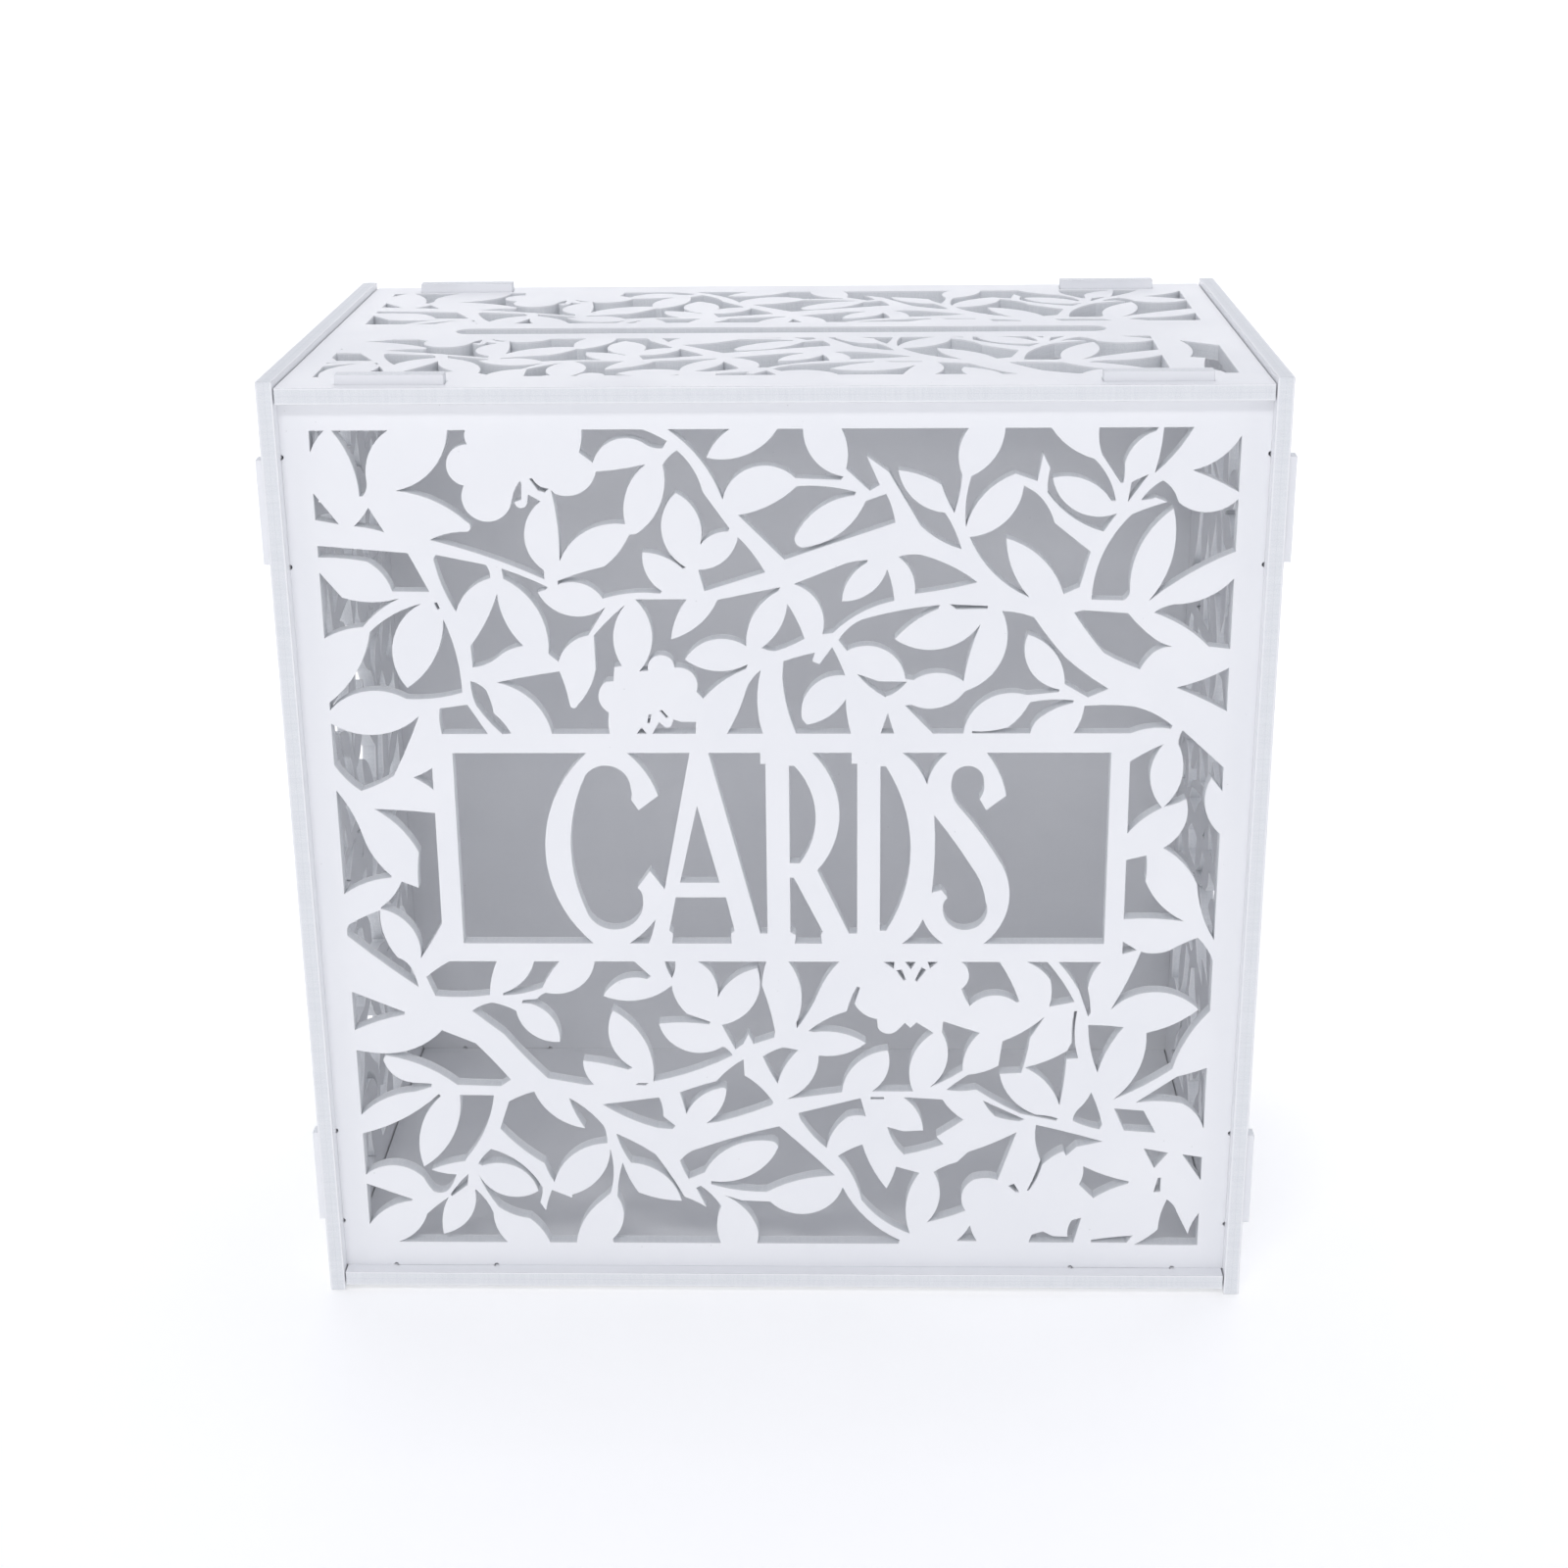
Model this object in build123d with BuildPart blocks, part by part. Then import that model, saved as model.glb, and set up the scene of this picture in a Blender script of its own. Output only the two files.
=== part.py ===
from build123d import *
import os

# Flat-pack wedding card box: six rigid foam boards that plug together with tabs and slots.
# Millimetres, +Z up, +X to the right, front at -Y. The origin is on the ground at the box's centre.

os.makedirs("parts", exist_ok=True)

# ---- driving dimensions -------------------------------------------------------------------
board = 5.0             # thickness of every board
inner_width = 300.0     # between the inner faces of the two side boards
body_height = 300.0     # front and back boards, between the bottom board and the lid
overall_depth = 180.0   # side boards, bottom board and lid, front to back
overhang = 5.0          # how far those boards stand past the front and back boards
side_lift = 2.0         # how far the side boards reach past the lid and the bottom board

tab_width = 33.0        # tabs on the front and back boards
tab_inset = 18.0        # from a board's corner to its first tab
tab_proud = 3.0         # how far a tab stands out of the board that it goes through
tab_gap = 0.15          # clearance all round a tab in its slot
end_gap = 0.5           # between the ends of the lid or bottom board and the side boards
relief = 0.8            # radius of the cutter's relief at a tab's or a slot's corner

frame = 9.0             # plain border around the front board's cut-out field
side_frame = 18.0       # plain border at the front and back edges of a side board
lid_front_frame = 17.0  # plain border along the lid's front edge
lid_back_frame = 13.0   # plain border along the lid's back edge
lid_bar = 28.0          # plain bar across the lid that carries the card slot
side_rail = 6.0         # plain rail between two bands of a side board's pattern
card_slot_length = 216.0
card_slot_width = 10.0
lid_band_shift = 20.0   # the lid's front band of pattern starts this far across the field
lid_band_drop = 15.0    # and this far below the field's top

# ---- worked out from the dimensions above -------------------------------------------------
tab_length = board + tab_proud
slot_width = tab_width + 2 * tab_gap
slot_thick = board + 2 * tab_gap
half_width = inner_width / 2
half_depth = overall_depth / 2
bottom_z = tab_proud                    # underside of the bottom board
body_z = bottom_z + board               # lower edge of the front and back boards
lid_z = body_z + body_height            # underside of the lid
side_z = bottom_z - side_lift           # lower edge of the side boards
side_height = lid_z + board + side_lift - side_z    # its middle is the body's middle
body_mid_z = body_z + body_height / 2
front_mid_y = -half_depth + overhang + board / 2
back_mid_y = -front_mid_y
tab_x = half_width - tab_inset - tab_width / 2          # tab centres along the width
tab_dz = body_height / 2 - tab_inset - tab_width / 2    # tab centres from the body's mid height

# ---- the cut-out pattern ------------------------------------------------------------------
# The pattern is drawn in a square field, origin at its lower left corner. Each opening is a
# closed outline taken clockwise. A point is (across, up, rise): rise is how far the edge to
# the next point bows out of the opening, less than zero where a leaf bows into it.
field = 282.0
bands = (184.5, 105.5)      # lower edge of the upper foliage, upper edge of the lower foliage

foliage = [
    # top row, left half
    [(0, 282, 0), (4.6, 282, -0.5), (0, 275.3, 0)],
    [(7, 282, 0), (24, 282, -2.6), (16.6, 266, 0.5), (15, 261.6, 0), (14.1, 261.6, -1.8)],
    [(0, 262.6, 0), (7.2, 252.8, 0), (0, 254.2, 0)],
    [(16.6, 258, 0), (21, 250.3, -0.3), (11.8, 252.2, -0.3)],
    [(0, 246, 0), (27.8, 243.6, 0), (33.8, 231.2, 0), (22.3, 231.4, -1.2), (15, 241, -0.4), (0, 242.3, 0)],
    [(0, 237.5, 0), (6.5, 229.4, -1.4), (24.3, 229.1, -0.9), (12.3, 219.9, -0.8), (0, 216.2, 0)],
    [(31, 227.4, -6.8), (25, 199.8, -3.2), (37.6, 222.3, 1.2), (42.2, 198.3, 0.8), (24.5, 196.2, -4.5),
     (0, 192.4, 0), (0, 195, -2.6), (14.4, 218.3, 1.2)],
    [(42.2, 282, 0), (47.6, 282, -0.5), (48, 277.6, -5.9), (46.3, 264.8, -9.2), (60.8, 260.4, 0.3),
     (63.5, 266.2, 0), (64, 265.4, 0), (63.7, 260.4, 0), (61.6, 259.6, -1.8), (65.5, 259.4, 0),
     (65.9, 262, 0), (69.6, 259.8, -5.6), (69.7, 238, 0), (69.7, 235.2, -0.9), (35, 247.8, 0.8),
     (46.8, 250.3, -0.9), (46.8, 253.3, -2), (25.4, 263.3, -4.3)],
    [(36.6, 243, 0), (51.8, 239.8, 0.4), (52.9, 235.6, -2), (41.7, 224.8, 0.7), (35.9, 240.5, 0.5)],
    [(35, 227.6, 0), (35.9, 227.8, 0), (36.8, 225.8, 0), (36, 225.4, 0)],
    [(54.8, 230.4, -1.7), (62.2, 213.6, -0.8), (53.6, 209.6, 0.6), (46, 206.6, 0), (45.7, 213.6, -0.8)],
    [(56.6, 238.6, 0.3), (70.6, 232.6, 0), (70, 231.8, 0), (67.4, 231, -5.2), (88.2, 226, 0),
     (82.6, 217, -1.9), (73, 208.4, 0), (70, 211, -4.3), (57, 235.4, 0)],
    [(66.4, 267, 0), (67.4, 267, -0.8), (72.3, 263.8, 0), (71, 262.6, 0), (69, 263.2, 0)],
    [(73, 263.4, 0), (74, 262.2, -3.5), (86.9, 269, -0.3), (102, 271.2, -2.9), (95.3, 252.6, -4.1),
     (74.7, 241, -0.7)],
    [(83, 282, 0), (101.4, 282, 0.2), (108.7, 278.4, 0), (107.4, 276.2, 0.4), (102.6, 277.2, -4.6),
     (86, 271.8, 0), (82, 275, -0.3)],
    [(109, 282, 0), (127.8, 282, -0.9), (120.6, 273.2, -3.8), (142.3, 282, 0), (150, 282, -3.6),
     (162.2, 267.2, 0), (161.4, 266.2, 0), (147.6, 266.8, -7), (125.3, 260.2, -2.2)],
    [(111.7, 275.5, 1.2), (119.3, 262.5, 0), (127.2, 251.2, 0), (126.8, 250.2, -1.2), (118.2, 246, -3.2),
     (111, 262.4, -6), (113.6, 238.8, 0), (112.6, 238.4, -1.3), (100.3, 243.7, -2), (106, 231.2, 0),
     (105.4, 230.5, -1), (87.6, 228.9, -2.7), (73.8, 233.4, 0), (73.8, 234.6, 0.3), (88.5, 239.2, -0.8),
     (96.5, 249.3, 0), (98.6, 249.4, -3.6), (107.3, 271, 0.4)],
    # top row, right half
    [(130, 255.3, -1.6), (148, 264.3, 0.8), (166, 262.4, 0), (165.6, 261.4, -3), (147.3, 248.5, -1),
     (149.5, 245, -3.4), (169, 259.6, 0), (175.2, 261.8, 0.4), (178, 252.8, 0), (144, 241.2, 0)],
    [(161.6, 282, 0), (200, 282, -2), (198.2, 267.6, 0.4), (196, 255.8, 0.3), (192, 264.6, -0.8),
     (178.8, 269.2, -3.4), (193.2, 255.8, 0.5), (198.3, 244.4, 0.9), (185.8, 251.8, 0), (176, 268.6, 0),
     (169.2, 273.6, 0), (173.2, 264.6, 0), (170.2, 262.8, 0), (163, 269.6, -1.2)],
    [(211, 282, 0), (224.8, 282, -1.5), (238, 272.4, 1.2), (244.9, 259.4, 0), (243.6, 259.4, -3.2),
     (225.6, 266.6, -5.4), (245.4, 255.4, 0), (241.5, 249.8, 1.8), (224.2, 262, 0.3), (224.8, 269.6, 0),
     (222.6, 274, 0), (221, 265.6, 0), (214.4, 268, -2.8), (199.6, 251.4, 0.8), (201, 267.2, -2.6)],
    [(239.2, 282, 0), (257, 282, 0), (256.4, 281, -1.8), (247.2, 271, 0.2), (247, 265, 0), (246.2, 265, 0),
     (240.4, 273.6, 0.5)],
    [(258.6, 282, 0), (267.6, 282, 0.8), (256.4, 268, -0.4)],
    [(282, 279.4, 0), (282, 262, -0.4), (267.8, 268.8, -1.9)],
    [(249.5, 265.2, 0), (254.6, 267.6, 0), (248.6, 259, 0)],
    [(252.6, 259.6, 0.6), (259, 265.7, 0.8), (264, 258.8, -3.6), (282, 259.8, 0), (282, 243.4, -1.2),
     (256.2, 227.7, -3.6), (262.6, 257, -3.8), (250.3, 230.6, 0.4), (248.4, 228, 0), (238.6, 228.2, 2.9),
     (250, 255.2, 0.2), (260.6, 259, 0), (257, 260.4, 0.2)],
    [(217, 264.2, 0), (220.4, 262.2, 0.9), (226.5, 252.6, 0), (237.8, 243.4, 0), (234.8, 232.2, 0),
     (230, 230, -3.2), (212, 247.8, -1.8), (219.4, 229, 2.6), (200.8, 248.2, -4.2)],
    [(146.8, 233.4, 0), (163, 240, 0.2), (169.6, 241, 0), (169.4, 240.2, -1.9), (161.6, 227.8, -3),
     (175.6, 238, 0.4), (177.8, 228, -1.6), (158.8, 217.6, 0), (155.6, 217.2, -3.8)],
    [(179, 242, 0.4), (186, 242.6, 1), (203.4, 233.8, 0.3), (184.2, 230.2, -1.8)],
    [(195, 226.8, 0), (206.8, 226.2, 0), (206.6, 225.4, 0), (197, 225.2, 0)],
    [(160.6, 215.3, 0.8), (168, 222, 0.6), (192, 226.6, 0), (191.4, 225.4, -1), (178, 215.6, -5.8),
     (204.6, 220.4, -0.6), (199.6, 201.8, -2.6), (184, 202.2, 0), (181.5, 202.6, -5.6), (163.2, 211.8, 0)],
    [(166.4, 204.2, 0), (173, 201.8, 0), (182, 201.6, 0.6), (175.2, 196.6, 0.6)],
    [(211.2, 224.6, 0.4), (221, 222.6, -0.3), (231, 209.6, -0.4), (244.8, 199.2, 0), (238.6, 196.4, 0),
     (231.2, 200.8, -3.4), (219.3, 217, -5), (229.6, 199, 0), (229.4, 198.2, 0), (219.6, 197.2, -5.6),
     (199.8, 184.5, 0), (190.2, 184.5, 0), (181.4, 193.8, 0), (183.4, 194, -3.2), (200.2, 198.5, -6.4)],
    [(202.6, 185.2, -0.6), (214, 186.6, -0.6), (220.5, 194.8, 0.6), (234.2, 195.4, 0), (234, 194.6, -0.6),
     (224, 190, -0.6), (220.8, 184.5, 0), (202.6, 184.5, 0)],
    [(237.6, 193.6, 0.4), (253, 193.4, 0.8), (265.3, 187, 0), (264.8, 186, -1), (252.4, 184.5, 0),
     (234.4, 184.5, -0.6)],
    [(233.4, 224, 0), (236, 224.8, 0), (250, 223.8, -0.4), (258.6, 215.4, -0.3), (264, 213, -0.6),
     (258, 210.8, -0.3), (254.4, 205.6, 0.3), (243, 211, 0.3)],
    [(282, 234.8, 0), (282, 212.2, 0), (275.4, 213, -1.2), (258, 224, 0.4), (264, 226.6, -2.2)],
    [(282, 206, 0), (282, 191.8, -0.3), (266, 199.6, -0.6)],
    [(117.4, 238, -3), (129.8, 248.4, 0.5), (138, 237.2, 0), (119.2, 231.2, 0)],
    [(97.6, 228.6, 0), (113.6, 228.6, -1), (108.4, 215.6, -2.2), (123.2, 228.4, 0), (142.6, 232.4, 0),
     (142, 231.2, -3), (131.8, 213.4, -4.4), (112.6, 209, -3), (132.2, 207.4, 0), (131.6, 206, -1),
     (118, 196.2, 0), (116, 198.4, -3), (109.4, 206.4, 0), (108.8, 208.4, -3.6), (101, 205.4, 0),
     (98.2, 205.2, 0), (99.2, 206.4, -4.2)],
    [(94.4, 226.8, -3.2), (92.8, 207, 0), (90.4, 206.6, 0), (90, 202, 0), (87.6, 201.8, -2.8),
     (88.2, 191.6, -0.3), (88.2, 184.5, 0), (70, 184.5, -3.6), (53.4, 201.6, 0.2), (73.2, 205.2, 0.3),
     (76, 194, -1), (78.4, 194, -1), (84.6, 206, 0), (84.4, 217, 0.3)],
    [(136.2, 205.4, -1.4), (136.6, 184.5, 0), (125.4, 184.5, -0.5), (131.6, 199, 0.6)],
    [(144.8, 227, 0.4), (150, 215.8, 0.3), (141, 211.8, 0.3), (136.6, 212.8, -1.8)],
    [(143.4, 208.4, 0.2), (153.2, 211.2, 0), (152.4, 208.4, 0), (154.6, 207.4, 0), (158.6, 213, 0.2),
     (162.6, 203.8, -5), (149, 189.4, 0), (150.6, 187.4, -1.6), (162.8, 195.8, -0.4), (164.4, 184.5, 0),
     (147.2, 184.5, 0.8), (143, 203, 0)],
    [(176, 191.2, 0), (178, 184.5, 0), (173.8, 184.5, 0)],
    [(96.8, 184.5, 0), (98.4, 186.6, 0), (100, 184.5, 0)],
    [(100.2, 188, 0), (100.8, 191, 0), (101.6, 191, 0), (101, 188, 0)],
    [(104.2, 192.2, 0), (105, 192.4, 0), (107, 190, 0), (106.2, 189.8, 0)],
    [(101.8, 184.5, 0), (104, 188.4, 0), (105.4, 187, -0.8), (108, 187.6, 0), (108.6, 189.2, 0),
     (111, 188.4, 0), (115.6, 188.4, 0), (115.4, 184.5, 0)],
    # left of the sign
    [(34.8, 193, 0), (43.6, 194.2, 0), (49.6, 184.5, 0), (35, 184.5, 0.4)],
    [(45, 202, 0.5), (49.8, 199, 0.3), (51.8, 191.4, 0.4), (57, 184.6, 0), (54.2, 184.4, 0.4), (46.4, 194, 0.4)],
    [(0, 188, -5), (28, 190.4, 0.3), (18.8, 170.4, 0.4), (8, 165.2, 0.6), (0, 174, 0)],
    [(31.2, 173, 0), (31.2, 165.6, -0.3), (25, 169.8, -0.3)],
    [(0, 165.4, 0.8), (7.4, 150, -1.2), (15.8, 135.8, 0), (15.6, 135.2, -1.2), (0, 129.4, 0)],
    [(11.8, 159, 0.2), (31.2, 157.6, 0), (31.2, 119, 0.2), (23.6, 106.6, -4.2), (11.6, 124.2, 0),
     (11.8, 124.8, -0.8), (19, 133.8, 0), (24.4, 131.6, 0.3), (25.2, 144, -1.6)],
    [(11.2, 123.6, -1.6), (16, 106.8, 0.5), (20, 103.4, 0.3), (22.2, 96.2, 0.3), (0, 114.6, 0.4),
     (0.8, 118.6, 0.3)],
    [(0, 94.4, 0), (17.2, 87, -0.2), (17, 86.2, -0.6), (0, 80.4, 0)],
    # right of the sign
    [(268.6, 185.4, 0), (282, 173, 0), (282, 165, 0), (278.4, 169.6, -3.4), (282, 150.4, 0), (282, 113.4, 1.2),
     (275.6, 133, -1.4), (264.2, 145.6, -3.2), (270.8, 162.4, 0.3), (263.8, 159.7, -3.6), (267.4, 181, 0.3)],
    [(252.5, 175, 0.3), (262.8, 180.8, -4), (263.2, 159.4, -0.8), (252.6, 150.6, 0)],
    [(252.6, 141.4, 0), (259, 143, 0.3), (259, 134, -1.8), (272, 120, -0.6), (252.6, 120.8, 0)],
    [(252.6, 112.8, 0), (257.2, 109.8, 0), (252.6, 108.4, 0)],
    [(258.6, 109.2, -0.9), (268, 109.8, 0.3), (276.8, 114.2, 0.5), (282, 106, 0), (282, 88, -1.5),
     (270.6, 66.8, 0.6), (251.6, 55.4, -3.2), (261.6, 80, -1.2), (278.2, 88.5, -6.4), (249.6, 88.4, -0.5)],
    [(272.4, 64, -0.2), (282, 67.2, 0), (282, 44.6, -1.2), (274.6, 54, -0.8), (259, 54.2, 0)],
    [(252, 52, 0), (261.8, 51.2, 0), (266, 43, 0), (255.6, 43.8, 0)],
    [(262.4, 37, 0), (270.6, 35.4, 0), (266.2, 29.6, 0)],
    [(275.4, 34.8, 0), (282, 33.8, 0), (282, 25, 0)],
    [(267.6, 25.8, 0), (268.6, 26, 0), (268.6, 20.6, 0), (266.4, 20.4, 0)],
    [(271, 17.6, 0.5), (274.4, 13, 0), (278.6, 4.2, 0.5), (282, 12.4, 0), (282, 0, 0), (260.6, 0, -0.4),
     (268.4, 6, 0.6)],
    # bottom row, right half
    [(242.4, 30.2, -0.6), (258, 24.4, 0), (257.6, 23.6, -0.6), (246.2, 18, 0), (241.2, 23.2, -0.6)],
    [(224.8, 0.8, 0), (225.8, 3.8, 0), (229.6, 5, 0), (233, 3.2, 0), (238, 3, 0.6), (239.2, 9.4, 0),
     (242.4, 10.4, 0), (240, 0.8, 0)],
    [(246, 0.8, 0), (246, 1.8, 0.2), (260, 3.6, 0), (258, 0.8, 0)],
    [(204.8, 7.2, -0.3), (207.2, 1.2, 0), (200.4, 1.2, -0.3)],
    [(217.4, 22.6, 0), (219.4, 23.4, 0), (221.2, 20.2, 0), (220, 20.2, 0)],
    [(226.2, 45.8, 0.2), (248.6, 39.6, 0), (240, 37.6, 0), (236.6, 34.2, 0), (235.6, 36, -0.5),
     (228.6, 30.6, 0.5), (224.4, 20.8, 0), (223.8, 20.8, -0.3), (228, 32.6, 0.9)],
    [(192.2, 27.8, 0.4), (200, 31.6, 0), (203.6, 35.4, -0.4), (219.8, 43, 0), (213.8, 24.8, -0.8),
     (205.6, 24.8, -2.6), (203.2, 13, 0.3), (190.2, 8.4, -3.2)],
    [(160, 33.8, 0.3), (168.2, 38.2, -0.9), (176.4, 21.4, -0.3), (179.6, 29.8, 0), (187.4, 27.4, -2.8),
     (184.4, 4, 1.6), (168, 17, -1.2)],
    [(171, 56, 0), (175.4, 56, 0), (175.4, 55.2, 0), (171, 55.2, 0)],
    [(181.8, 56, 0), (194.8, 55.2, -0.6), (202, 47.6, 0), (193, 41.2, 0), (195.4, 38.4, 0.3),
     (182.2, 34.4, 0.8), (176.6, 44.8, 0), (182, 43.2, 0), (188.6, 43.6, -1.6)],
    [(147, 50, 0), (167.6, 55.6, 0), (169.4, 48.8, -0.6), (163, 48.4, -1.2), (156.2, 36.8, 0.5),
     (148.6, 46, 0.4)],
    [(150.4, 80.4, 0.8), (163, 87.6, 0.3), (166.4, 96.6, 0), (167.4, 96.2, 0), (165.6, 90.4, -1.2),
     (173, 84.8, 0), (173.2, 81.8, -1.6), (179.4, 80.4, 0), (182.2, 83.4, 0), (184, 81.6, 0),
     (186, 83.6, 0), (191.6, 79.8, -4), (185, 58.2, 0), (171.4, 58.2, -2.6), (176.6, 73.4, -4),
     (161.4, 57.8, 0), (143, 55.2, -3), (153.8, 71.4, -1.8), (169.4, 76, -1.8), (152, 80, 0)],
    [(144, 105.5, 0), (160.6, 105.5, -0.6), (154, 95, 0.5), (146.6, 81.4, 0), (146.4, 83.4, -3)],
    [(175, 105.5, 0), (178.6, 105.5, 0), (178.4, 103, 0)],
    [(182, 105.5, 0), (185.6, 105.5, 0), (184, 102.8, 0)],
    [(189.4, 105.5, 0), (192.8, 105.5, 0), (190.2, 103.2, 0)],
    [(179.2, 102.4, 0), (181, 102.8, 0), (182.4, 99, 0), (181.6, 98.8, 0)],
    [(187.4, 103.6, 0), (189, 102.6, 0), (186, 98.4, 0), (185.4, 99, 0)],
    [(200.4, 105.5, 0), (212.8, 105.5, 0.5), (219.6, 91.2, 0), (218.6, 91, -3.2), (203.4, 89.6, 0.2),
     (200.6, 95.8, -2.5)],
    [(221.8, 105.5, 0), (228.4, 105.5, 0.5), (237.6, 91.2, 0), (229.4, 89.4, -0.6), (229.6, 99, -0.8)],
    [(232, 105.5, 0), (245.8, 105.5, -0.8), (241.8, 96, 0.2), (243, 87, 0), (242.2, 86, 0), (239, 95.4, -0.3)],
    [(237.6, 87.8, 0), (238.6, 87.8, -0.4), (238.2, 76, 0), (239.4, 70.6, 0), (235.6, 70.4, 0.3),
     (233.8, 53.2, -1.9), (222, 67.2, -0.7), (235.8, 73.4, 0), (237.2, 76.4, 0.3)],
    [(242.4, 82.8, 0.2), (254, 82, -1), (246, 65.4, 0.8)],
    [(194.8, 84, 0), (206.8, 79.8, -1.6), (201.4, 66, 0.3), (190.6, 59.8, -3.8), (194.4, 80, 0)],
    [(196.2, 58.8, 0.2), (203.2, 64.4, -0.6), (213.2, 67.8, 0), (214.4, 76.8, -0.8), (228, 85.8, 0),
     (223.4, 78, 0.2), (221.2, 66.6, 0), (220.8, 65.2, 0), (213.6, 64.8, -2.6), (226, 49.6, 0.3),
     (233.4, 48.2, 0), (232.8, 47.4, 0), (221, 50, 0.4), (206, 59, 0.5)],
    [(208.4, 54.8, 0), (222.4, 47.8, 0), (220.6, 47.2, 0.3), (212.4, 49, 0.3)],
    [(244.2, 58, 0.3), (248.2, 46, 0), (247.4, 44.2, 0.4), (238.4, 47.4, 0.4), (240, 51.6, -0.4)],
    # bottom row, left half
    [(46.6, 43.8, 0), (50, 54, 0.3), (58.6, 57.8, -3), (75.2, 44, 0.5), (70.2, 55.4, 0.8), (81.4, 45, 0.4),
     (82.4, 38.4, -4), (64, 23.4, 0.3), (61, 30.6, 0.8)],
    [(0, 73, -0.2), (9, 71.8, -2.4), (29, 80.4, 0), (40, 75.6, 0.2), (51, 62.2, 0), (47.6, 59.8, 0),
     (33, 60.2, -1.8), (10, 71, -0.6), (9, 68.6, -1.8), (18, 61, 0), (24.4, 60.6, 0), (24.2, 59.4, 0),
     (18.6, 57.6, -2), (0, 48.8, 0)],
    [(27.2, 56, -4), (20, 29.2, -4.2), (33.6, 56.4, 0), (45, 56.3, 1.8), (34.8, 32.8, 0), (34, 31.4, -0.5),
     (22.4, 28, -0.4), (30.8, 26.2, 0), (30.4, 25, 0.2), (28, 20.6, 1), (22.6, 19.8, 0.2), (19.6, 25, -4.2),
     (0, 26, 0), (0, 41.8, -2), (26.6, 56.8, 0)],
    [(34.8, 26.4, 0), (34.4, 22.2, 0), (28.8, 17.8, 0), (28.4, 18.6, 0.3)],
    [(27.6, 17.4, -1.2), (25.2, 3.2, -4.2), (36.8, 20.4, 0), (37.2, 20.4, 0.6), (42.6, 11.6, -1.2), (47, 0, 0),
     (9.6, 0, -1.8), (20, 11, 0.2)],
    [(0, 22.6, 0), (15.2, 16.6, 0), (15, 16, -2), (0, 6.8, 0)],
    [(38.4, 30.4, 0.3), (43, 36, 2.4), (59.8, 21.4, 0.3), (58.8, 15.6, 0), (60.6, 12.4, 0.2), (63, 20.4, 0),
     (69.8, 17.4, 0), (69.8, 18.6, -3.6), (83.4, 36.2, 1), (83, 19.4, 0), (80, 16.6, -1.8), (70.6, 0, 0),
     (61.6, 0, -0.8), (55, 9.4, 0.8), (44.6, 13.8, 0.6), (38.4, 26.4, -5.2), (58.4, 20, -5), (39.8, 29.6, 0)],
    [(85.6, 42, 0.4), (98.6, 34.2, 0.3), (108, 18, 0.2), (115.4, 14, 0), (112, 21.4, 0), (113.6, 22.2, 0.5),
     (120.4, 14.4, -1.4), (120, 0, 0), (83.4, 0, 0), (83, 1.4, -3), (85.2, 18, 0.4), (87.4, 31, -0.5),
     (92.4, 19.6, -0.8), (107, 16.4, -3.8), (90.2, 31, 0.5)],
    [(106.8, 31.8, 0.3), (111, 35.6, 0.5), (140.4, 45, 0.2), (159, 26.4, 0), (157.6, 26.2, -1.4),
     (136, 20, 0.8), (117.2, 22.8, 0), (117.2, 24, -4.6), (140, 37, -0.6), (137.4, 39.4, -4.2),
     (115, 27.4, 0), (109.6, 24.8, 0.2)],
    [(121.4, 18.6, 0), (127.4, 16.6, 0), (137, 16.2, -7.4), (161.6, 21.8, -2.4), (181, 1.4, 0),
     (180.6, 0, 0), (132.4, 0, -0.6), (132.2, 7, -1.6)],
    [(81.4, 53, 0), (100.4, 55.7, 0.4), (101.6, 48.6, 0), (105.6, 45, 0), (104.6, 43.8, 0), (99.6, 44.2, 0.8)],
    [(92.6, 60.4, 0), (93.6, 61, 0), (97, 61, 0), (96, 60.2, 0)],
    [(107.4, 57.6, 0.2), (119.6, 61.8, 0.5), (128.8, 70, 0), (129, 64, 0.8), (138.4, 54.2, 0.3),
     (137.4, 52.8, 0.3), (120, 46.6, 0), (116, 46, -1.6), (123, 58.8, -0.4), (120.6, 59.2, -1.8),
     (109.4, 49.6, 0)],
    [(135.2, 71, 0.3), (142, 74.4, 0), (147, 73.4, -1), (140, 61, 0.2)],
    [(33, 105.5, 0), (48.4, 105.5, -0.6), (45.6, 93.4, 0.6), (27.6, 93, 0), (25, 99.8, 0.3)],
    [(60.8, 105.5, 0), (69, 105.5, -0.4), (63, 96, 0.6), (50, 93.2, 0), (50, 94, -2)],
    [(39.4, 87.6, 0.4), (46, 90.6, 0.4), (54, 87.6, -3.6), (68, 76.2, -3), (59, 90.2, 0), (56, 90.4, 0),
     (56.4, 91.4, 0), (61, 91.9, 0.2), (64, 94.2, -4.6), (80.6, 105.5, 0), (93.6, 105.5, 0),
     (98.8, 100.2, 0), (97.6, 99.2, -3), (83, 93, -3.4), (105.6, 96.8, -1), (110.4, 86.6, 0),
     (118.2, 83.6, 0), (117.6, 82.8, -0.6), (101, 83, -6), (122, 74.6, 0.4), (125.2, 71.4, 1),
     (98.6, 61.6, -4.4), (86, 87.8, -4.3), (91.8, 66.8, 0), (90.4, 66, -0.4), (75.4, 69.4, -1),
     (78.8, 60.4, 0), (76.6, 60.2, 0), (63.4, 62.8, 0.3), (49.6, 79, 0)],
    [(103.6, 105.5, 0), (107, 105.5, 0.4), (105.8, 99.6, 0.3)],
    [(114.4, 105.5, 0), (136.8, 105.5, -0.3), (135.2, 97, 0.4), (139.4, 80, 0), (139, 78, 0),
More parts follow.
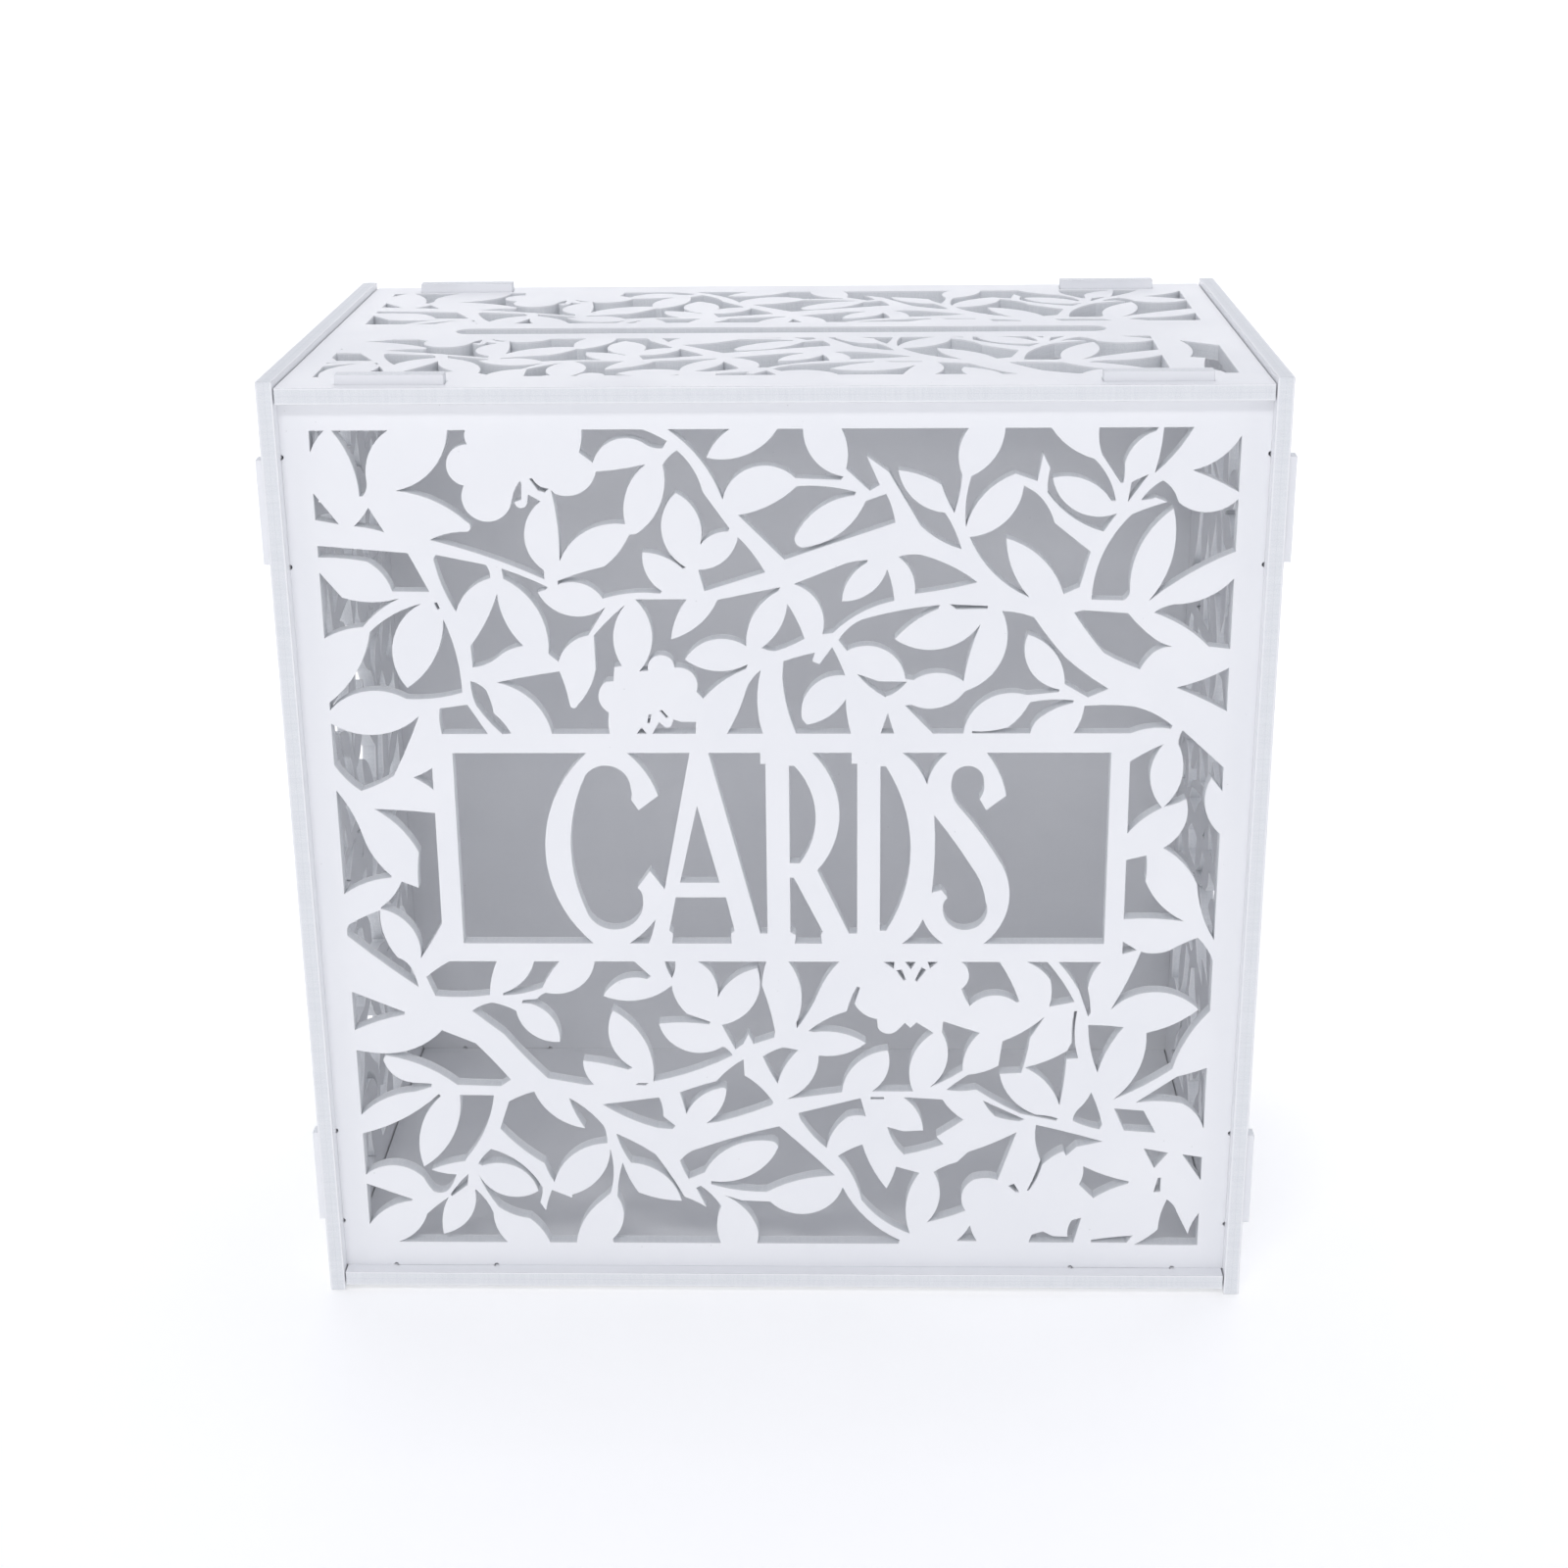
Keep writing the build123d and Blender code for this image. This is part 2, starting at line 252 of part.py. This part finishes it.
     (132.2, 75.6, 0), (130.6, 79.4, 0), (128.8, 75.6, 0), (126.2, 73.6, 0), (121.8, 82.6, 0),
     (123.6, 83, -4.8), (133.8, 103.2, -2), (120.7, 92.6, -2.2)],
]

# The generic word CARDS, cut between the two bars of the sign.
sign = [
    [(38, 178, 0), (80.5, 178, -14.4), (80.5, 112, 0), (38, 112, 0)],
    [(93.5, 178, 0), (113.3, 178, 0), (104.2, 131.2, 0), (99.6, 137.6, 0), (95.4, 131.6, 0.6),
     (97, 127.5, 8.8), (78.5, 124, 4.8), (80, 170.5, 5.4), (94.3, 166, 0.3), (94.2, 162.2, 0),
     (96.6, 158.5, 0), (103, 163.5, -1.2)],
    [(100.9, 120.4, 0.3), (98.5, 112, 0), (92.3, 112, -0.5)],
    [(115.3, 160, 0), (122, 133.5, 0), (109.3, 133.5, 0)],
    [(107.8, 128.3, 0), (124, 128.3, 0), (126.6, 116.6, 0), (125.4, 115.4, 0), (125.6, 112, 0),
     (106.2, 112, 0), (106.6, 115.4, 0), (105.4, 116.6, 0)],
    [(119.3, 178, 0), (135.7, 178, 0), (135.7, 174.3, 0), (137.3, 174.3, 0), (137.3, 115.6, 0), (135, 115.6, 0)],
    [(144.8, 173.6, 0), (146.5, 173.6, 5.9), (148, 140.3, 0), (144.8, 140.3, 0)],
    [(144.8, 135.2, 0), (146, 135.2, 0), (155.3, 116.2, 0), (154.6, 115, 0), (155, 112, 0), (146.2, 112, 0),
     (146.6, 115, 0), (144.8, 116, 0)],
    [(152.2, 178, 0), (164.6, 178, 0), (164.6, 174.3, 0), (166.4, 174.3, 0), (166.4, 115.6, 0),
     (163.8, 115.6, 0), (153.6, 137.8, -7.9)],
    [(173.8, 173.4, 0), (175.5, 173.4, 7.9), (175.8, 116.6, 0), (173.8, 116.6, 0)],
    [(180.7, 178, 0), (195, 178, -1.2), (188.6, 167.4, -1)],
    [(191, 156.8, 0.3), (203.5, 138.5, 0.8), (207.8, 127, 8.9), (194.2, 124.5, 0.5), (195.6, 128.2, 0),
     (193.6, 131, 0), (190.5, 130, -0.6)],
    [(187.7, 120.6, -0.8), (194.3, 112, 0), (181, 112, -0.8)],
    [(207.3, 178, 0), (246.5, 178, 0), (246.5, 112, 0), (207.5, 112, -5), (213, 139.5, -0.6),
     (199, 159.5, 1.6), (197, 171, 4), (206.6, 168, 0.6), (205.3, 162.3, 0), (207.5, 158.5, 0),
     (213.8, 163.5, -1)],
]

# only on the lid, where its front band runs on past the field's right-hand side
lid_end = [
    [(290.4, 259, 0), (302, 250.4, 0), (302, 205, 0), (298, 205, -1.2), (292.6, 213.4, 0.3),
     (295, 229.6, 0), (290.4, 231, -2.2)],
]


def outline(points, across=1.0, up=1.0, shift=(0.0, 0.0)):
    """One opening's face, from lines and arcs; across and up stretch the field, shift places it."""

    def place(x, y):
        return (x * across + shift[0], y * up + shift[1])

    with BuildSketch() as opening:
        with BuildLine():
            for (x0, y0, rise), (x1, y1, _) in zip(points, points[1:] + points[:1]):
                if rise:
                    length = ((x1 - x0) ** 2 + (y1 - y0) ** 2) ** 0.5
                    middle_x = (x0 + x1) / 2 - rise * (y1 - y0) / length
                    middle_y = (y0 + y1) / 2 + rise * (x1 - x0) / length
                    ThreePointArc(place(x0, y0), place(middle_x, middle_y), place(x1, y1))
                else:
                    Line(place(x0, y0), place(x1, y1))
        make_face()
    return opening.sketch


def pattern(outlines, window_width, window_height, corner=(0.0, 0.0), stretch=(1.0, 1.0)):
    """Openings seen through a window whose lower left corner is at corner in the field."""
    left, low = corner
    shift = (-window_width / 2 - left * stretch[0], -window_height / 2 - low * stretch[1])
    openings = [outline(points, stretch[0], stretch[1], shift) for points in outlines]
    with BuildSketch() as window:
        add(openings)
        Rectangle(window_width, window_height, mode=Mode.INTERSECT)
    return window.sketch


def tabbed_outline(width, height, tab_centres_across, tab_centres_up):
    """A board with two tabs on each side, and the cutter's relief beside every tab."""
    Rectangle(width, height)
    ends = [(x, side * (height + tab_length) / 2) for x in tab_centres_across for side in (-1, 1)]
    sides = [(side * (width + tab_length) / 2, y) for y in tab_centres_up for side in (-1, 1)]
    with Locations(*ends):
        Rectangle(tab_width, tab_length)
    with Locations(*sides):
        Rectangle(tab_length, tab_width)
    corners = [(x + edge * (tab_width / 2 + relief), side * height / 2)
               for x in tab_centres_across for side in (-1, 1) for edge in (-1, 1)]
    corners += [(side * width / 2, y + edge * (tab_width / 2 + relief))
                for y in tab_centres_up for side in (-1, 1) for edge in (-1, 1)]
    with Locations(*corners):
        Circle(relief, mode=Mode.SUBTRACT)


def tab_slots(centres, along_x):
    """Slots that the tabs go through, with a relief at each corner."""
    size = (slot_width, slot_thick) if along_x else (slot_thick, slot_width)
    with Locations(*centres):
        Rectangle(*size, mode=Mode.SUBTRACT)
    corners = [(x + i * (size[0] / 2), y + j * (size[1] / 2))
               for x, y in centres for i in (-1, 1) for j in (-1, 1)]
    with Locations(*corners):
        Circle(relief / 2, mode=Mode.SUBTRACT)


def finish(part, name):
    """Name a finished board and write it out."""
    part.label = name
    export_step(part, f"parts/{name}.step")


# ---- front and back boards ----------------------------------------------------------------
field_width = inner_width - 2 * frame
field_height = body_height - 2 * frame
field_stretch = (field_width / field, field_height / field)
front_openings = pattern(foliage + sign, field_width, field_height, stretch=field_stretch)

with BuildPart() as front_panel:
    with BuildSketch(Plane.XZ.offset(-front_mid_y)):
        with Locations((0, body_mid_z)):
            tabbed_outline(inner_width, body_height, (-tab_x, tab_x), (-tab_dz, tab_dz))
            add(front_openings, mode=Mode.SUBTRACT)
    extrude(amount=board / 2, both=True)
finish(front_panel.part, "front_panel")

with BuildPart() as back_panel:
    with BuildSketch(Plane.XZ.offset(-back_mid_y)):
        with Locations((0, body_mid_z)):
            tabbed_outline(inner_width, body_height, (-tab_x, tab_x), (-tab_dz, tab_dz))
    extrude(amount=board / 2, both=True)
finish(back_panel.part, "back_panel")

# ---- side boards --------------------------------------------------------------------------
side_window_width = overall_depth - 2 * side_frame
upper_height = (field - bands[0]) * field_stretch[1]
lower_height = bands[1] * field_stretch[1]
middle_height = (bands[0] - bands[1]) * field_stretch[1] - 2 * side_rail
middle_mid_z = (bands[0] + bands[1] - field) / 2 * field_stretch[1]


def side_openings():
    """Three bands of foliage, one above another, with a plain rail between them."""
    band_stretch = (1.0, field_stretch[1])
    middle_corner = (field - side_window_width, field - middle_height / field_stretch[1])
    upper = pattern(foliage, side_window_width, upper_height, (0.0, bands[0]), band_stretch)
    middle = pattern(foliage, side_window_width, middle_height, middle_corner, band_stretch)
    lower = pattern(foliage, side_window_width, lower_height, (0.0, 0.0), band_stretch)
    with BuildSketch() as window:
        with Locations((0, (field_height - upper_height) / 2)):
            add(upper)
        with Locations((0, middle_mid_z)):
            add(middle)
        with Locations((0, (lower_height - field_height) / 2)):
            add(lower)
    return window.sketch


def side_board(low_x, openings):
    """An upright board; low_x is its face of least X."""
    slots = [(y, z) for y in (front_mid_y, back_mid_y) for z in (-tab_dz, tab_dz)]
    with BuildPart() as side_part:
        with BuildSketch(Plane.YZ.offset(low_x)):
            with Locations((0, body_mid_z)):
                Rectangle(overall_depth, side_height)
                tab_slots(slots, along_x=False)
                add(openings, mode=Mode.SUBTRACT)
        extrude(amount=board)
    return side_part.part


left_openings = side_openings()
right_openings = mirror(left_openings, about=Plane.YZ)
left_side_panel = side_board(-half_width - board, left_openings)
finish(left_side_panel, "left_side_panel")
right_side_panel = side_board(half_width, right_openings)
finish(right_side_panel, "right_side_panel")

# ---- bottom board -------------------------------------------------------------------------
deck_width = inner_width - 2 * end_gap
deck_slots = [(x, y) for x in (-tab_x, tab_x) for y in (front_mid_y, back_mid_y)]

with BuildPart() as bottom_panel:
    with BuildSketch(Plane.XY.offset(bottom_z)):
        Rectangle(deck_width, overall_depth)
        tab_slots(deck_slots, along_x=True)
    extrude(amount=board)
finish(bottom_panel.part, "bottom_panel")

# ---- lid ----------------------------------------------------------------------------------
lid_band = (overall_depth - lid_front_frame - lid_back_frame - lid_bar) / 2
front_band_y = -half_depth + lid_front_frame + lid_band / 2
bar_y = -half_depth + lid_front_frame + lid_band + lid_bar / 2
back_band_y = half_depth - lid_back_frame - lid_band / 2
back_band_corner = (0.0, field - lid_band)
front_band_corner = (lid_band_shift, field - lid_band_drop - lid_band)

lid_stretch = (field_stretch[0], 1.0)
back_openings = pattern(foliage, field_width, lid_band, back_band_corner, lid_stretch)
fore_openings = pattern(foliage + lid_end, field_width, lid_band, front_band_corner, lid_stretch)

with BuildPart() as lid:
    with BuildSketch(Plane.XY.offset(lid_z)):
        Rectangle(deck_width, overall_depth)
        tab_slots(deck_slots, along_x=True)
        with Locations((0, bar_y)):
            SlotOverall(card_slot_length, card_slot_width, mode=Mode.SUBTRACT)
        with Locations((0, back_band_y)):
            add(back_openings, mode=Mode.SUBTRACT)
        with Locations((0, front_band_y)):
            add(fore_openings, mode=Mode.SUBTRACT)
    extrude(amount=board)
finish(lid.part, "lid")
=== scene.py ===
import math

import bpy
from mathutils import Matrix, Vector


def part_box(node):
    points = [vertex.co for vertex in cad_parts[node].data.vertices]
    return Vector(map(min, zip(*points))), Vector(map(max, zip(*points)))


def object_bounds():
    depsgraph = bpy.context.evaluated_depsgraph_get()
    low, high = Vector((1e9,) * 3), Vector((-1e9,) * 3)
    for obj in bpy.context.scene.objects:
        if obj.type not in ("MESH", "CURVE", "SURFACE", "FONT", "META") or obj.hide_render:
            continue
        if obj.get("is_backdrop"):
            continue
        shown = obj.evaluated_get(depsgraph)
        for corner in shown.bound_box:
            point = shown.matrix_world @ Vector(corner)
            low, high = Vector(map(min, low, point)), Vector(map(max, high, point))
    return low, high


# Looks for a flat-pack wedding card box: six tabbed boards of white foam board.
# Metres, +Z up, the side with the word faces -Y.

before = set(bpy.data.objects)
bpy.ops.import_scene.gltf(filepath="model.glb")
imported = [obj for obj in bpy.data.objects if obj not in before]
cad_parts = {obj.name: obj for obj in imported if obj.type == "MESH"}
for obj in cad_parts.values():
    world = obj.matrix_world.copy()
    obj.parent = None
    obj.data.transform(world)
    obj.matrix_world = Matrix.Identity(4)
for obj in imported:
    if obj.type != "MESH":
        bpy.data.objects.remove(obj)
cad_low, cad_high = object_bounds()


# ---- shader maths -------------------------------------------------------------------------
class Socket:
    """A shader socket; sums on it add their Math nodes."""

    def __init__(self, nodes, socket):
        self.nodes = nodes
        self.socket = socket

    def maths(self, operation, *values):
        made = self.nodes.add("ShaderNodeMath", {"operation": operation}, dict(enumerate(values)))
        return made.out()

    def __add__(self, other):
        return self.maths("ADD", self, other)

    def __radd__(self, other):
        return self.maths("ADD", other, self)

    def __sub__(self, other):
        return self.maths("SUBTRACT", self, other)

    def __rsub__(self, other):
        return self.maths("SUBTRACT", other, self)

    def __mul__(self, other):
        return self.maths("MULTIPLY", self, other)

    def __rmul__(self, other):
        return self.maths("MULTIPLY", other, self)

    def __abs__(self):
        return self.maths("ABSOLUTE", self)

    def above(self, level):
        return self.maths("GREATER_THAN", self, level)

    def ramp(self, start, end):
        """0 at start and 1 at end, smooth between; start may be the larger."""
        made = self.nodes.add("ShaderNodeMapRange", {"interpolation_type": "SMOOTHSTEP"},
                              {"Value": self, "From Min": start, "From Max": end})
        return made.out("Result")


class Made:
    """A node that has been added."""

    def __init__(self, nodes, node):
        self.nodes = nodes
        self.node = node

    def out(self, name=0):
        return Socket(self.nodes, self.node.outputs[name])


class Nodes:
    """A material's node tree; add() makes any node."""

    def __init__(self, name):
        self.material = bpy.data.materials.new(name)
        self.material.use_nodes = True
        self.tree = self.material.node_tree
        self.tree.nodes.clear()

    def add(self, kind, settings=None, values=None):
        node = self.tree.nodes.new(kind)
        for key, value in (settings or {}).items():
            setattr(node, key, value)
        for key, value in (values or {}).items():
            if isinstance(value, Socket):
                self.tree.links.new(value.socket, node.inputs[key])
            else:
                node.inputs[key].default_value = value
        return Made(self, node)

    def noise(self, vector, scale, detail=2.0, rough=0.5):
        made = self.add("ShaderNodeTexNoise", None,
                        {"Vector": vector, "Scale": scale, "Detail": detail, "Roughness": rough})
        return made.out("Fac")

    def stretch(self, vector, scale, move=(0, 0, 0), turn=(0, 0, 0)):
        made = self.add("ShaderNodeMapping", {"vector_type": "POINT"},
                        {"Vector": vector, "Scale": scale, "Location": move, "Rotation": turn})
        return made.out("Vector")

    def blend(self, amount, first, second):
        """first where amount is 0, second where it is 1."""
        made = self.add("ShaderNodeMix", {"data_type": "RGBA"})
        for index, value in ((0, amount), (6, first), (7, second)):
            if isinstance(value, Socket):
                self.tree.links.new(value.socket, made.node.inputs[index])
            elif index:
                made.node.inputs[index].default_value = (*value, 1.0)
            else:
                made.node.inputs[index].default_value = value
        return made.out(2)


# ---- foam board ---------------------------------------------------------------------------
SKIN = (0.892, 0.898, 0.914)         # satin skin of the board
SKIN_GREY = (0.856, 0.866, 0.888)    # its faint clouds
RUBBED = (0.915, 0.919, 0.926)       # pale rub marks
DUST = (0.600, 0.606, 0.614)
CORE_WITH_SHADE = (0.838, 0.852, 0.868)         # cellular middle of a cut edge; its darker, bluer tone than the skin is partly painted shade
CORE_MARKS_AND_SHADE = (0.708, 0.732, 0.760)    # open cells and cutter marks in it, darker and bluer still with painted shade
SKIN_DEPTH = 0.0005                  # dense skin seen on a cut edge
CUT_START, CUT_FULL = 0.00002, 0.00008    # depth under a face where the cut edge takes over
PASS_WIDTH, PASS_CORE = 0.00022, 0.00004  # the line that two cutter passes leave mid-edge
SOFT_CORNER = 0.00035                # radius that light finds on a crisp corner
GRAIN_HEIGHT = 0.00002               # height of one unit of surface grain
GRAIN_STRENGTH = 0.55
SKIN_IOR, SKIN_SHINE = 1.47, 0.42
# pattern scales, in features per metre
CLOUDS, PATCHES, RIPPLE, PEEL = 16, 58, 95, 1500
RUB_AREAS, RUB_STROKES = 24, (90, 1400, 900)
SPECKS, SPECK_SIZE, SPECK_SHARE = 210.0, (0.062, 0.035), 0.86
CELLS, CUTTER_MARKS, MARK_LENGTH = 2600, 1250, 0.05


def foam_board(name, axis, low, high, move):
    """Board whose thickness runs along axis from low to high; move shifts its pattern."""
    n = Nodes(name)
    place = n.add("ShaderNodeTexCoord").out("Object")
    shifted = n.stretch(place, (1, 1, 1), move)
    parts = n.add("ShaderNodeSeparateXYZ", None, {"Vector": place})
    half = (high - low) / 2
    depth = abs(parts.out(axis) - (low + high) / 2)
    cut = depth.ramp(half - CUT_START, half - CUT_FULL)
    core = depth.ramp(half - SKIN_DEPTH * 0.7, half - SKIN_DEPTH * 1.3)

    # skin: soft clouds, orange peel, rub marks and dust
    clouds = n.noise(shifted, CLOUDS, 4, 0.55).ramp(0.36, 0.68)
    patches = n.noise(shifted, PATCHES, 3, 0.6).ramp(0.35, 0.7)
    peel = n.noise(shifted, PEEL, 2, 0.5)
    ripple = n.noise(shifted, RIPPLE, 2, 0.4)
    turned = n.stretch(shifted, (1, 1, 1), (0, 0, 0), (0.5, 0.35, 0.7))
    rubs = n.noise(n.stretch(turned, RUB_STROKES), 1, 2, 0.55).ramp(0.68, 0.78)
    rub_area = n.noise(shifted, RUB_AREAS, 1, 0.5).ramp(0.52, 0.66)
    rubbed = rubs * rub_area
    specks = n.add("ShaderNodeTexVoronoi", {"feature": "F1"},
                   {"Vector": shifted, "Scale": SPECKS, "Randomness": 1.0})
    speck_pick = n.add("ShaderNodeSeparateColor", None, {"Color": specks.out("Color")}).out(0)
    dust = specks.out("Distance").ramp(*SPECK_SIZE) * speck_pick.above(SPECK_SHARE)

    # cut edge: dense skin at both faces, fine open cells and cutter marks between, in a darker,
    # bluer tone that is partly painted shade
    cells = n.noise(shifted, CELLS, 3, 0.7).ramp(0.36, 0.64)
    squash = [1.0, 1.0, 1.0]
    squash[axis] = MARK_LENGTH
    marks = n.noise(n.stretch(shifted, squash), CUTTER_MARKS, 2, 0.6).ramp(0.34, 0.7)
    pass_line = depth.ramp(PASS_WIDTH, PASS_CORE)

    skin = n.blend(clouds * 0.55 + patches * 0.2, SKIN, SKIN_GREY)
    skin = n.blend(rubbed * 0.5, skin, RUBBED)
    skin = n.blend(dust * 0.5, skin, DUST)
    # middle of the cut edge: real cells, cutter marks and pass line, plus painted shade in its
    # darker, bluer tone
    middle = n.blend(cells * 0.45 + marks * 0.2 + pass_line * 0.25, CORE_WITH_SHADE, CORE_MARKS_AND_SHADE)
    edge = n.blend(core, n.blend(marks * 0.2, SKIN, SKIN_GREY), middle)
    colour = n.blend(cut, skin, edge)

    skin_rough = 0.40 + 0.10 * clouds + 0.05 * patches + 0.14 * rubbed + 0.2 * dust
    edge_rough = 0.62 + 0.16 * cells + 0.08 * core
    rough = skin_rough * (1 - cut) + edge_rough * cut

    skin_height = peel * 0.35 + ripple * 0.9 + dust * 1.2 - rubbed * 0.6
    edge_height = marks * 3.2 + cells * core * 3.0 - pass_line * 2.2 - core * 0.8
    height = skin_height * (1 - cut) + edge_height * cut
    rounded = n.add("ShaderNodeBevel", {"samples": 4}, {"Radius": SOFT_CORNER}).out("Normal")
    bump = n.add("ShaderNodeBump", None,
                 {"Strength": GRAIN_STRENGTH, "Distance": GRAIN_HEIGHT,
                  "Height": height, "Normal": rounded})
    shader = n.add("ShaderNodeBsdfPrincipled", None,
                   {"Base Color": colour, "Roughness": rough, "Normal": bump.out("Normal"),
                    "IOR": SKIN_IOR, "Specular IOR Level": SKIN_SHINE})
    n.add("ShaderNodeOutputMaterial", None, {"Surface": shader.out("BSDF")})
    return n.material


BOARDS = {
    "front_panel": ("white_board_front", (0.0, 0.0, 0.0)),
    "back_panel": ("white_board_back", (0.7, 0.2, 0.4)),
    "left_side_panel": ("white_board_left", (0.1, 0.9, 0.3)),
    "right_side_panel": ("white_board_right", (0.5, 0.4, 0.8)),
    "bottom_panel": ("white_board_bottom", (0.3, 0.6, 0.1)),
    "lid": ("white_board_lid", (0.9, 0.1, 0.6)),
}

for node, (name, move) in BOARDS.items():
    low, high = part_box(node)
    sides = [high[k] - low[k] for k in range(3)]
    axis = sides.index(min(sides))
    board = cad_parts[node]
    material = foam_board(name, axis, low[axis], high[axis], move)
    for slot in board.material_slots:
        slot.material = material


# ---- floor and backdrop -------------------------------------------------------------------
PAPER, PAPER_FIBRE = (0.90, 0.90, 0.90), (0.85, 0.85, 0.855)
PAPER_GLOW = 0.25


def studio_floor():
    """A pale sheet that lies flat and sweeps up behind the box."""
    width, front, back, rise, bend = 5.0, -2.6, 2.4, 2.6, 0.9
    profile = [(front, 0.0), (back - bend, 0.0)]
    bend_steps = 12
    for step in range(1, bend_steps + 1):
        angle = math.pi / 2 * step / bend_steps
        profile.append((back - bend + bend * math.sin(angle), bend - bend * math.cos(angle)))
    profile.append((back, rise))
    points = [(x, y, z) for y, z in profile for x in (-width, width)]
    faces = [(2 * k, 2 * k + 1, 2 * k + 3, 2 * k + 2) for k in range(len(profile) - 1)]
    mesh = bpy.data.meshes.new("studio_floor")
    mesh.from_pydata(points, [], faces)
    mesh.shade_smooth()
    floor = bpy.data.objects.new("studio_floor", mesh)
    bpy.context.scene.collection.objects.link(floor)
    n = Nodes("pale_paper")
    place = n.add("ShaderNodeTexCoord").out("Object")
    fibres = n.noise(place, 400, 3, 0.6)
    colour = n.blend(fibres * 0.15, PAPER, PAPER_FIBRE)
    shader = n.add("ShaderNodeBsdfPrincipled", None,
                   {"Base Color": colour, "Roughness": 0.85,
                    "Emission Color": (1.0, 1.0, 1.0, 1.0), "Emission Strength": PAPER_GLOW})
    n.add("ShaderNodeOutputMaterial", None, {"Surface": shader.out("BSDF")})
    mesh.materials.append(n.material)
    return floor


studio_floor()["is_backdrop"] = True


# ---- light --------------------------------------------------------------------------------
def soft_light(name, place, aim, size, power):
    """A white softbox of (width, height) metres at place, turned to aim; power in watts."""
    lamp = bpy.data.lights.new(name, "AREA")
    lamp.shape = "RECTANGLE"
    lamp.size, lamp.size_y = size
    lamp.energy = power
    holder = bpy.data.objects.new(name, lamp)
    holder.location = place
    holder.rotation_euler = (Vector(aim) - Vector(place)).to_track_quat("-Z", "Y").to_euler()
    bpy.context.scene.collection.objects.link(holder)


middle = (cad_low + cad_high) / 2
soft_light("front_softbox", (-0.3, -1.7, 1.71), middle, (1.1, 0.28), 10.0)
soft_light("low_softbox", (0.0, -1.9, 0.62), middle, (1.5, 0.7), 2.3)
soft_light("right_softbox", (1.7, -0.9, 0.7), middle, (1.0, 1.2), 3.2)
soft_light("left_softbox", (-1.7, -0.9, 0.7), middle, (1.0, 1.2), 3.2)
soft_light("top_softbox", (0.1, 0.25, 1.8), middle, (1.0, 0.5), 3.0)
soft_light("backdrop_light", (0.0, 1.0, 1.9), (0.0, 2.4, 0.7), (4.0, 0.5), 27.0)

world = bpy.data.worlds.new("studio")
bpy.context.scene.world = world
world.use_nodes = True
room = world.node_tree.nodes["Background"].inputs
room["Color"].default_value = (0.885, 0.90, 1.0, 1.0)
room["Strength"].default_value = 0.49
bpy.context.scene.view_settings.view_transform = "Standard"

# ---- camera -------------------------------------------------------------------------------
EYE = Vector((0.02288, -0.82997, 0.46504))
yaw, pitch, roll = -0.0278, 0.3600, -0.0103     # radians; pitch looks down
ahead = Vector((math.sin(yaw) * math.cos(pitch),
                math.cos(yaw) * math.cos(pitch),
                -math.sin(pitch)))
level = Vector((math.cos(yaw), -math.sin(yaw), 0.0))
upward = level.cross(ahead)
right = level * math.cos(roll) + upward * math.sin(roll)
top = upward * math.cos(roll) - level * math.sin(roll)
lens = bpy.data.cameras.new("camera")
lens.sensor_width = 36.0
lens.lens = 57.53
lens.clip_start = 0.02
camera = bpy.data.objects.new("camera", lens)
turn = Matrix((right, top, -ahead)).transposed().to_4x4()
camera.matrix_world = Matrix.Translation(EYE) @ turn
bpy.context.scene.collection.objects.link(camera)
bpy.context.scene.camera = camera

# ---- sizes --------------------------------------------------------------------------------
low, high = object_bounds()
